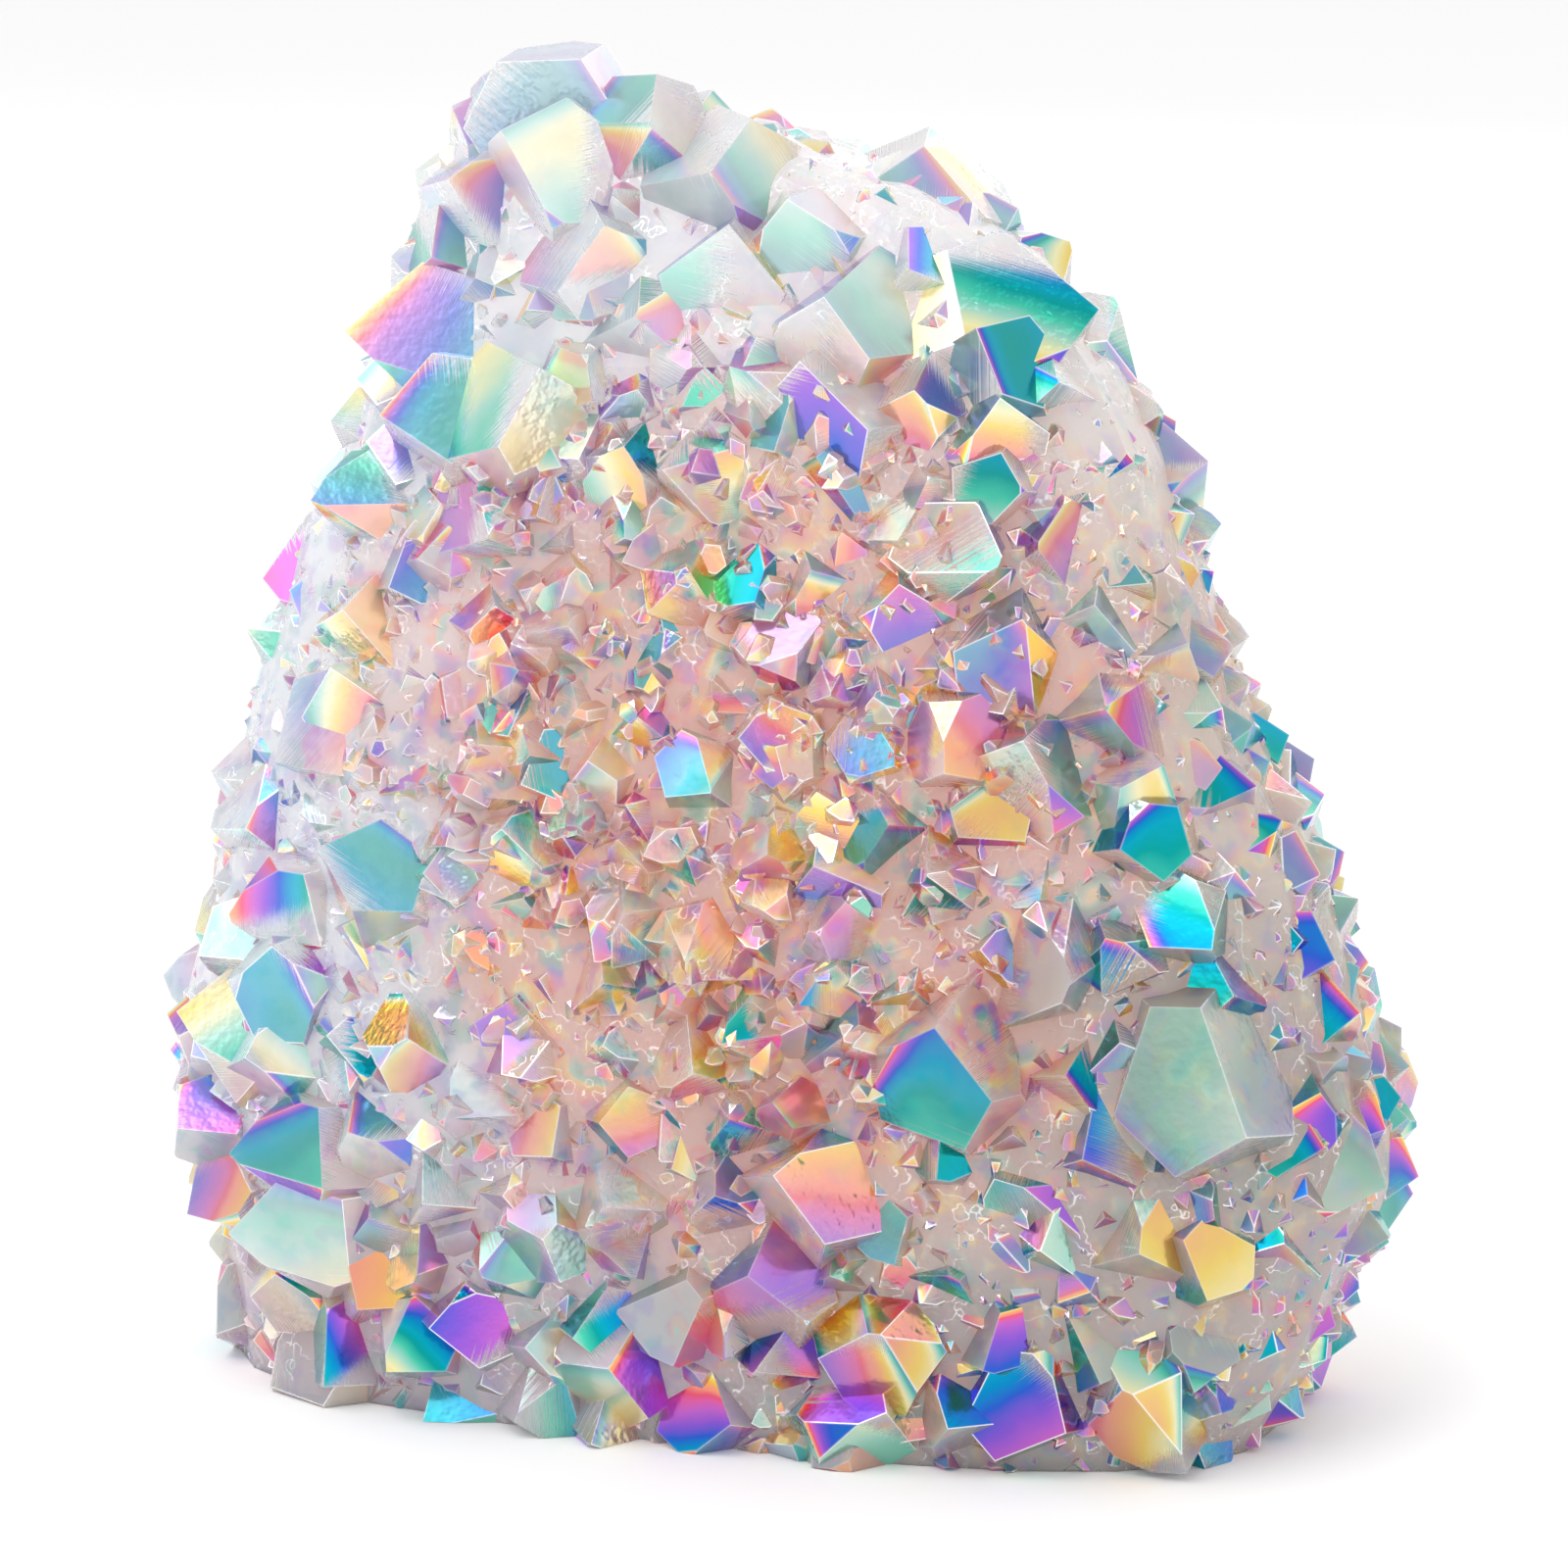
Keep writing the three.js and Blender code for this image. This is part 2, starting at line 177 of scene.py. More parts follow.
@dataclass
class Faces:
    """Flat faces as arrays: points in millimetres, and their numbers face after face."""

    points: np.ndarray
    loops: np.ndarray
    totals: np.ndarray
    facet: np.ndarray

    def mesh(self, name: str) -> bpy.types.Mesh:
        """Returns a mesh in metres, with each face's facet number as an attribute."""
        mesh = bpy.data.meshes.new(name)
        mesh.vertices.add(len(self.points))
        mesh.vertices.foreach_set("co", (self.points * MM).astype(np.float32).ravel())
        mesh.loops.add(len(self.loops))
        mesh.loops.foreach_set("vertex_index", self.loops.astype(np.int32))
        mesh.polygons.add(len(self.totals))
        starts = np.cumsum(self.totals) - self.totals
        mesh.polygons.foreach_set("loop_start", starts.astype(np.int32))
        mesh.update(calc_edges=True)
        layer = mesh.attributes.new("facet", "INT", "FACE")
        layer.data.foreach_set("value", self.facet.astype(np.int32))
        return mesh

    @classmethod
    def triangles(cls, points: np.ndarray, corners: np.ndarray, kind: Facet) -> "Faces":
        """Returns faces from rows of three point numbers, all of one kind."""
        count = len(corners)
        return cls(points, corners.ravel(), np.full(count, 3), np.full(count, kind.value))


@dataclass(frozen=True)
class Slab:
    """The body of the cluster: sections stacked on one another, closed by a base and a crest.

    Each row of levels holds a height, the left and right edges, and the front and back. A
    section is an ellipse whose cosine and sine are raised to a power under 1, which pushes it
    out towards the corners of its box. The back swells and sinks in slow waves.
    """

    levels: tuple[tuple[float, ...], ...] = (
        (0, -50, 45, -21, 21), (10, -51, 50, -22, 22), (22, -55, 54, -23, 23),
        (30, -55, 54, -23, 23), (41, -52, 50, -22, 22), (50, -50, 47, -21, 21),
        (58, -48, 43, -20, 20), (66, -46, 39, -18, 19), (75, -43, 36, -16, 18),
        (83, -39, 33, -14, 17), (91, -36, 29, -12, 15), (100, -33, 22, -9, 13),
        (106, -31, 12, -7, 11), (110, -29, -2, -5, 9), (112, -28, -14, -3, 7),
    )
    crest: tuple[float, float, float] = (-22, 2, 113)
    squareness: float = 0.7
    sides: int = 24
    lump_depth: float = 1.6
    lump_round: float = 5
    lump_slant: float = 0.11
    lump_climb: float = 0.16
    place_rounds: int = 12

    def level_at(self, z: np.ndarray) -> tuple[np.ndarray, ...]:
        """Reads the levels at some heights, in straight steps.

        Args:
            z: the heights.

        Returns:
            The section's middle in x and in y, and its half width and half depth.
        """
        table = np.array(self.levels, dtype=float)
        left, right, front, back = (np.interp(z, table[:, 0], table[:, k]) for k in range(1, 5))
        return (left + right) / 2, (front + back) / 2, (right - left) / 2, (back - front) / 2

    def skin(self, angle: np.ndarray, z: np.ndarray) -> np.ndarray:
        """Returns the points of the skin at angles round the slab (0 is +X) and heights."""
        angle, z = np.broadcast_arrays(np.asarray(angle, float), np.asarray(z, float))
        x, y, half_width, half_depth = self.level_at(z)
        cosine, sine = np.cos(angle), np.sin(angle)
        wave = np.sin(self.lump_round * angle + self.lump_slant * z) * np.cos(self.lump_climb * z)
        lump = self.lump_depth * np.maximum(sine, 0) * wave
        across = np.sign(cosine) * np.abs(cosine) ** self.squareness
        along = np.sign(sine) * np.abs(sine) ** self.squareness
        return np.stack([x + half_width * across, y + half_depth * along + lump, z], axis=-1)

    def outward(self, angle: np.ndarray, z: np.ndarray) -> np.ndarray:
        """Returns the skin's outward directions, from a short way round it and up it."""
        turn, climb = 0.05, 2.0
        around = self.skin(angle + turn, z) - self.skin(angle - turn, z)
        rise = self.skin(angle, z + climb) - self.skin(angle, z - climb)
        return unit(np.cross(around, rise))

    def front_angle(self, x: float, z: float) -> float:
        """Returns the angle at which the front has a given x, just short of the two edges."""
        middle, _, half_width, _ = self.level_at(z)
        edge = 0.99
        share = min(max((x - middle) / half_width, -edge), edge)
        return -math.acos(math.copysign(abs(share) ** (1 / self.squareness), share))

    def place_seen(self, across: float, up: float, top: float) -> tuple[float, float]:
        """Finds the place on the front that shows to the eye across and up from the middle.

        Args:
            across: distance to the right, as it shows.
            up: distance upwards, as it shows.
            top: the greatest height allowed.

        Returns:
            The place's angle and height. Its depth is settled in a few rounds.
        """
        depth = angle = z = 0.0
        for _ in range(self.place_rounds):
            x = (across - depth * math.sin(EYE_TURN)) / math.cos(EYE_TURN)
            slope = (x * math.sin(EYE_TURN) - depth * math.cos(EYE_TURN)) * math.sin(EYE_RAISE)
            z = min(max(EYE_HEIGHT + (up + slope) / math.cos(EYE_RAISE), 1), top)
            angle = self.front_angle(x, z)
            depth = 0.5 * (depth + float(self.skin(angle, z)[1]))
        return angle, z

    def faces(self) -> Faces:
        """Returns the closed slab's faces, from a ring of points on each level."""
        heights = np.array(self.levels, dtype=float)[:, 0]
        angles = np.arange(self.sides) * 2 * math.pi / self.sides
        rings = self.skin(angles[None, :], heights[:, None]).reshape(-1, 3)
        points = np.vstack([rings, [(0, 0, 0), self.crest]])
        base, crest = len(rings), len(rings) + 1
        here = np.arange(self.sides)
        after = (here + 1) % self.sides
        lows = (np.arange(len(heights) - 1) * self.sides)[:, None]
        low, low_after = (lows + here).ravel(), (lows + after).ravel()
        top = (len(heights) - 1) * self.sides
        corners = np.vstack([
            np.stack([np.full_like(here, base), after, here], 1),
            np.stack([np.full_like(here, crest), top + here, top + after], 1),
            np.stack([low, low_after, low_after + self.sides], 1),
            np.stack([low, low_after + self.sides, low + self.sides], 1),
        ])
        return Faces.triangles(points, corners, Facet.SLAB)


@dataclass(frozen=True)
class Form:
    """How the crystals of one kind are shaped, as shares of a crystal's radius.

    lean is how far the axis may leave the skin's direction, shoulder bounds the shoulder's
    height over the skin, rise bounds the point's height over the shoulder, and lesser bounds
    how far the lesser sloping faces stand off.
    """

    lean: float
    shoulder: tuple[float, float]
    rise: tuple[float, float]
    lesser: tuple[float, float] = (0.05, 0.85)


@dataclass
class Crystals:
    """Crystals as arrays with one row for each, all lengths in millimetres.

    A crystal is what lies within thirteen planes: six flats of the prism, six sloping faces of
    the point, and the root. Each flat has its own distance from the axis and each sloping face
    its own height, so that some faces grow large at the cost of their neighbours.
    """

    foot: np.ndarray
    axis: np.ndarray
    radius: np.ndarray
    rise: np.ndarray
    spin: np.ndarray
    shoulder: np.ndarray
    flats: np.ndarray
    heights: np.ndarray

    FLATS = 6
    PLANES = 2 * FLATS + 1
    SLOPES = slice(FLATS, 2 * FLATS)
    ROOT_DEPTH = 2.2
    STEEPNESS = 1.15
    MOST_EDGES = 6
    FAR = 9.0
    TOLERANCE = 1e-7

    def __post_init__(self) -> None:
        """Works out the planes and the corners and faces between them."""
        self.normal, self.reach = self.planes()
        self.owner, self.faces, self.edges = self.hewn()

    def planes(self) -> tuple[np.ndarray, np.ndarray]:
        """Works out the planes of every crystal.

        A flat's normal points out at its turn round the axis. A sloping face's normal is the
        axis plus the steepness times that direction, and it cuts the axis at its own height.

        Returns:
            The normals, crystals by planes by 3, and the normals' product with a point on
            each plane.
        """
        side = unit(np.cross((0, 0, 1), self.axis))
        up = np.cross(self.axis, side)
        turn = self.spin[:, None] + np.arange(self.FLATS) * math.pi / 3
        out = np.cos(turn)[..., None] * side[:, None] + np.sin(turn)[..., None] * up[:, None]
        steep = (self.STEEPNESS * self.rise)[:, None]
        length = np.sqrt(1 + steep * steep)
        slope = (self.axis[:, None] + steep[..., None] * out) / length[..., None]
        top = self.shoulder[:, None] + (self.radius * self.rise)[:, None] * (1 + self.heights)
        normal = np.concatenate([out, slope, -self.axis[:, None]], axis=1)
        root = (self.ROOT_DEPTH * self.radius)[:, None]
        own = np.concatenate([self.radius[:, None] * self.flats, top / length, root], axis=1)
        return normal, own + np.einsum("nkj,nj->nk", normal, self.foot)

    def hewn(self) -> tuple[np.ndarray, Faces, np.ndarray]:
        """Works out the convex solids that lie within the planes.

        A corner is the point where three planes meet and which none of the others cuts off.
        With normals a, b, c and products p, q, r it is (p b x c + q c x a + r a x b) over
        a . (b x c). A face's corners stand in order of their angle round its middle. The edge
        from P to Q of a face whose normal is n has the inward direction n x (Q - P).

        Returns:
            The crystal that each corner belongs to, all faces, and for each facet number the
            lines of its edges: an inward direction and its product with a point of the edge.
        """
        trio = np.array(list(combinations(range(self.PLANES), 3)))
        a, b, c = (self.normal[:, trio[:, k]] for k in range(3))
        p, q, r = (self.reach[:, trio[:, k], None] for k in range(3))
        bc, ca, ab = np.cross(b, c), np.cross(c, a), np.cross(a, b)
        volume = np.sum(a * bc, axis=-1)
        whole = np.abs(volume) > self.TOLERANCE
        corner = (p * bc + q * ca + r * ab) / np.where(whole, volume, 1)[..., None]
        excess = np.einsum("ntj,nkj->ntk", corner, self.normal) - self.reach[:, None]
        owner, kept = np.nonzero(whole & (excess < self.TOLERANCE).all(axis=-1))
        points = corner[owner, kept]
        facet = (owner[:, None] * self.PLANES + trio[kept]).ravel()
        loops = np.repeat(np.arange(len(points)), 3)
        named, face, totals = np.unique(facet, return_inverse=True, return_counts=True)
        middle = np.zeros((len(named), 3))
        np.add.at(middle, face, points[loops])
        middle /= totals[:, None]
        normal = self.normal.reshape(-1, 3)[named]
        ahead = unit(np.cross(normal, (0.31, 0.52, 0.79)))
        left = np.cross(normal, ahead)
        spoke = points[loops] - middle[face]
        angle = np.arctan2(np.sum(spoke * left[face], 1), np.sum(spoke * ahead[face], 1))
        order = np.lexsort((angle, face))
        loops, face = loops[order], face[order]
        starts = np.cumsum(totals) - totals
        rank = np.arange(len(loops)) - starts[face]
        after = np.where(rank + 1 == totals[face], starts[face], np.arange(len(loops)) + 1)
        start, end = points[loops], points[loops[after]]
        inward = unit(np.cross(normal[face], end - start))
        far = np.zeros((len(self.radius) * self.PLANES, self.MOST_EDGES, 4))
        far[..., 3] = -self.FAR
        shown = rank < self.MOST_EDGES
        line = np.concatenate([inward, np.sum(inward * start, 1, keepdims=True)], 1)
        far[named[face[shown]], rank[shown]] = line[shown]
        return owner, Faces(points, loops, totals, named), far

    def into(self, bench: bpy.types.Collection) -> None:
        """Puts each crystal into a collection as a mesh of its own."""
        count = np.arange(len(self.radius) + 1)
        corner = np.searchsorted(self.owner, count)
        face = np.searchsorted(self.faces.facet, count * self.PLANES)
        loop = np.concatenate([[0], np.cumsum(self.faces.totals)])[face]
        for n in count[:-1]:
            here = slice(face[n], face[n + 1])
            one = Faces(
                self.faces.points[corner[n] : corner[n + 1]],
                self.faces.loops[loop[n] : loop[n + 1]] - corner[n],
                self.faces.totals[here],
                self.faces.facet[here],
            )
            link(one.mesh("crystal"), bench)


@dataclass
class Growth:
    """Where the crystals grow and how each is shaped, drawn by chance in a fixed order.

    The chief crystals come from the same draws as the solid's own. The rest grow finer than
    the solid's: lesser ones wherever there is room, then fine ones in the valleys and on the
    lesser crystals in the middle of the face.
    """

    slab: Slab
    chief_seed: int = 4
    lesser_seed: int = 11
    fine_seed: int = 3
    face_form: Form = Form(0.5, (-0.5, 0.0), (0.8, 1.4))
    rim_form: Form = Form(0.3, (-0.85, -0.4), (0.75, 1.2))
    lesser_form: Form = Form(0.45, (-0.7, -0.15), (0.8, 1.3), (-0.1, 0.7))
    lesser_rim_form: Form = Form(0.3, (-0.7, -0.35), (0.75, 1.15), (-0.1, 0.7))
    fine_form: Form = Form(0.6, (-0.55, 0.0), (0.8, 1.5), (-0.2, 0.6))
    fine_rim_form: Form = Form(0.4, (-0.5, -0.1), (0.6, 1.2), (-0.2, 0.6))
    # heights between which fine crystals crowd the right side, and how likely they stay
    druse: tuple[float, float] = (48, 95)
    druse_keep: float = 1.5
    plain_keep: float = 0.8
    # how likely a fine crystal stays over a crystal: at its skin, and less each millimetre up
    skin_keep: float = 0.4
    height_loss: float = 0.2
    slope_keep: float = 0.9
    face_turn: float = -0.8
    back_turn: float = 0.5
    flats: tuple[float, float] = (0.82, 1.12)
    leading: tuple[float, float] = (-0.3, 0.15)
    # a lesser crystal's radius over its room, and how much of a radius keeps others off
    reach: float = 0.78
    shown: float = 0.8
    own_gap: float = 0.5
    next_gap: float = 0.55
    middle_room: float = 4.4
    face_room: float = 6.4
    left_room: float = 5.6
    right_room: float = 4.8
    back_room: float = 8.0
    room_spread: tuple[float, float] = (0.75, 1.35)
    middle: tuple[float, float] = (-4, 56)
    middle_reach: tuple[float, float] = (34, 40)
    tries: int = 14000
    fine_tries: int = 40000
    fine_radius: tuple[float, float] = (1.0, 3.2)
    fine_room: float = 0.62
    fine_upright: float = 0.25
    fine_sink: float = 0.35
    outside: float = 30.0
    top: float = 112
    strides: tuple[float, float] = (0.7548776662466927, 0.5698402909980532)
    rows: list[tuple] = field(default_factory=list)
    lessers: int = 0

    def grow(
        self, dice: Dice, foot: np.ndarray, axis: np.ndarray, radius: float, form: Form
    ) -> None:
        """Adds one crystal, with its lean, turn and uneven form drawn by chance.

        Args:
            dice: the sequence to draw from.
            foot: the crystal's place.
            axis: the skin's outward direction there.
            radius: the crystal's radius.
            form: the form of its kind.
        """
        lean = np.array([dice.between(-1, 1), dice.between(-1, 1), dice.between(-1, 1)])
        axis = unit(axis + form.lean * lean)
        rise = dice.between(*form.rise)
        spin = dice.between(0, math.pi / 3)
        shoulder = radius * dice.between(*form.shoulder)
        sides = range(Crystals.FLATS)
        flats = [dice.between(*self.flats) for _ in sides]
        heights = [dice.between(*(form.lesser if i % 2 else self.leading)) for i in sides]
        self.rows.append((foot, axis, radius, rise, spin, shoulder, flats, heights))

    def away(self, feet: np.ndarray) -> np.ndarray:
        """Returns 0 in the middle of the close growth, and 1 from its edge outwards."""
        offset = (feet[..., [0, 2]] - self.middle) / self.middle_reach
        return np.minimum(np.sum(offset * offset, axis=-1), 1)

    def strewn(self, count: int, start: float) -> tuple[np.ndarray, np.ndarray]:
        """Returns places strewn evenly over the skin, and its outward directions there."""
        step = np.arange(1, count + 1) + start
        angles = 2 * math.pi * ((step * self.strides[0]) % 1)
        heights = self.top * ((step * self.strides[1]) % 1)
        return self.slab.skin(angles, heights), self.slab.outward(angles, heights)

    def chief(self) -> None:
        """Grows the chief crystals, just as the solid has them."""
        dice = Dice(self.chief_seed)
        for across, up, radius, _, _ in CHIEF:
            angle, z = self.slab.place_seen(across, up, self.top)
            foot, axis = self.slab.skin(angle, z), self.slab.outward(angle, z)
            form = self.face_form if axis[1] < self.face_turn else self.rim_form
            self.grow(dice, foot, axis, radius, form)

    def lesser(self) -> Crystals:
        """Grows the lesser crystals between the chief ones, as many as find room.

        Returns:
            All crystals so far.
        """
        dice = Dice(self.lesser_seed)
        taken = np.array([row[0] for row in self.rows])
        radii = np.array([row[2] for row in self.rows])
        feet, axes = self.strewn(self.tries, 0)
        face_room = self.middle_room + (self.face_room - self.middle_room) * self.away(feet)
        back_room = np.minimum(self.back_room, self.slab.level_at(feet[:, 2])[3])
        turn = axes[:, 1]
        rim_room = np.where(feet[:, 0] < 0, self.left_room, self.right_room)
        rooms = np.where(turn < self.face_turn, face_room, rim_room)
        rooms = np.where(turn > self.back_turn, back_room, rooms)
        for foot, axis, room in zip(feet, axes, rooms):
            radius = self.reach * room * dice.between(*self.room_spread)
            gap = self.own_gap * room + self.next_gap * radii
            if (np.linalg.norm(taken - foot, axis=1) < gap).any():
                continue
            form = self.lesser_form if axis[1] < self.face_turn else self.lesser_rim_form
            self.grow(dice, foot, axis, radius, form)
            taken, radii = np.vstack([taken, foot]), np.append(radii, self.shown * radius)
        self.lessers = len(self.rows) - len(CHIEF)
        return self.crystals()

    def fine(self, grown: bpy.types.Mesh) -> Crystals:
        """Grows the fine crystals on what has grown so far.

        Each stands where a line from far outside meets the surface. They crowd the middle of
        the face, fill the valleys everywhere, and keep off the chief crystals' points.

        Args:
            grown: the slab with its chief and lesser crystals.

        Returns:
            All crystals, the fine ones last.
        """
        dice = Dice(self.fine_seed)
        mesh_facet = np.empty(len(grown.polygons), np.int32)
        grown.attributes["facet"].data.foreach_get("value", mesh_facet)
        tree = BVHTree.FromPolygons(
            [v.co for v in grown.vertices], [tuple(p.vertices) for p in grown.polygons]
        )
        chiefs = len(CHIEF) * Crystals.PLANES
        taken = np.full((self.fine_tries, 3), 1e6)
        radii = np.zeros(self.fine_tries)
        count = 0
        feet, axes = self.strewn(self.fine_tries, 0.5)
        close = np.where(axes[:, 1] < self.face_turn, 1 - self.away(feet), 0)
        for foot, axis, crowd in zip(feet, axes, close):
            start = Vector((foot + self.outside * axis) * MM)
            hit, normal, polygon, length = tree.ray_cast(start, Vector(-axis))
            size, chance = dice.roll(), dice.roll()
            if hit is None or hit.z < 0:
                continue
            height = self.outside - length / MM
            facet = mesh_facet[polygon]
            sloping = facet >= 0 and facet % Crystals.PLANES >= Crystals.FLATS
            keep = 1.0 if facet < 0 else self.skin_keep - self.height_loss * height
            druse = foot[0] > 0 and self.druse[0] < foot[2] < self.druse[1]
            keep = keep * (self.druse_keep if druse else self.plain_keep) + crowd
            if sloping:
                keep = 0.0 if facet < chiefs else self.slope_keep * crowd
            if chance > keep:
                continue
            radius = self.fine_radius[0] + (self.fine_radius[1] - self.fine_radius[0]) * size**2
            place = np.array(hit) / MM
            room = self.fine_room * (radius + radii[:count])
            if (np.linalg.norm(taken[:count] - place, axis=1) < room).any():
                continue
            taken[count], radii[count] = place, radius
            count += 1
            upright = self.fine_upright
            lean = unit((1 - upright) * axis + upright * np.array(normal))
            form = self.fine_form if axis[1] < self.face_turn else self.fine_rim_form
            self.grow(dice, place - self.fine_sink * radius * lean, lean, radius, form)
        return self.crystals()

    def crystals(self) -> Crystals:
        """Returns every crystal grown so far."""
        return Crystals(*(np.array(column, dtype=float) for column in zip(*self.rows)))


class Nodes:
    """A short hand for building a material's nodes."""

    def __init__(self, name: str) -> None:
        """Makes an empty node material."""
        self.material = bpy.data.materials.new(name)
        self.material.use_nodes = True
        self.tree = self.material.node_tree
        self.tree.nodes.clear()

    def add(self, kind: str, inputs: dict | None = None, **settings: object) -> bpy.types.Node:
        """Adds a node, sets its properties, and sets or links its inputs.

        Args:
            kind: the node's type name, without ShaderNode.
            inputs: a value or an output socket for each input, by name or number.
            settings: properties of the node itself.

        Returns:
            The node.
        """
        node = self.tree.nodes.new("ShaderNode" + kind)
        for key, value in settings.items():
            setattr(node, key, value)
        for key, value in (inputs or {}).items():
            if isinstance(value, bpy.types.NodeSocket):
                self.tree.links.new(value, node.inputs[key])
            else:
                node.inputs[key].default_value = value
        return node

    def read(self, name: str) -> list[bpy.types.NodeSocket]:
        """Returns the three parts of one of the mesh's vector attributes."""
        vector = self.add("Attribute", attribute_name=name).outputs["Vector"]
        return list(self.add("SeparateXYZ", {0: vector}).outputs)

    def math(self, operation: str, *values: object, clamp: bool = False) -> bpy.types.NodeSocket:
        """Returns the result of a math node on numbers or sockets."""
        node = self.add("Math", dict(enumerate(values)), operation=operation, use_clamp=clamp)
        return node.outputs[0]

    def times(self, *values: object) -> bpy.types.NodeSocket:
        """Returns the product of some values."""
        product = values[0]
        for value in values[1:]:
            product = self.math("MULTIPLY", product, value)
        return product

    def plus(self, *values: object) -> bpy.types.NodeSocket:
        """Returns the sum of some values."""
        total = values[0]
        for value in values[1:]:
            total = self.math("ADD", total, value)
        return total

    def less(self, first: object, second: object) -> bpy.types.NodeSocket:
        """Returns the first value less the second."""
        return self.math("SUBTRACT", first, second)

    def step(self, value: object, low: float, high: float) -> bpy.types.NodeSocket:
        """Returns a smooth step of a value, from 0 at low to 1 at high."""
        inputs = {"Value": value, "From Min": low, "From Max": high}
        return self.add("MapRange", inputs, interpolation_type="SMOOTHSTEP").outputs[0]

    def noise(self, place: object, scale: float, detail: float = 2.0) -> bpy.types.NodeSocket:
        """Returns a noise about 0.5, with so many waves a metre."""
        inputs = {"Vector": place, "Scale": scale, "Detail": detail}
        return self.add("TexNoise", inputs).outputs[0]

    def blend(self, share: object, first: object, second: object) -> bpy.types.NodeSocket:
        """Returns a mix of two colours."""
        return self.add("Mix", {0: share, 6: first, 7: second}, data_type="RGBA").outputs[2]

    def colours(self, value: object, stops: tuple) -> bpy.types.NodeSocket:
        """Returns a colour read off a ramp of stops, each a place and a colour."""
        node = self.add("ValToRGB", {0: value})
        ramp = node.color_ramp
        while len(ramp.elements) < len(stops):
            ramp.elements.new(0.5)
        for element, (place, colour) in zip(ramp.elements, stops):
            element.position = place
            element.color = colour
        return node.outputs[0]


def paint(red: int, green: int, blue: int) -> tuple[float, float, float, float]:
    """Returns a display colour, 0 to 255 a channel, as a linear one."""
    shares = np.array([red, green, blue]) / 255
    linear = np.where(shares <= 0.04045, shares / 12.92, ((shares + 0.055) / 1.055) ** 2.4)
    return (*(float(v) for v in linear), 1.0)


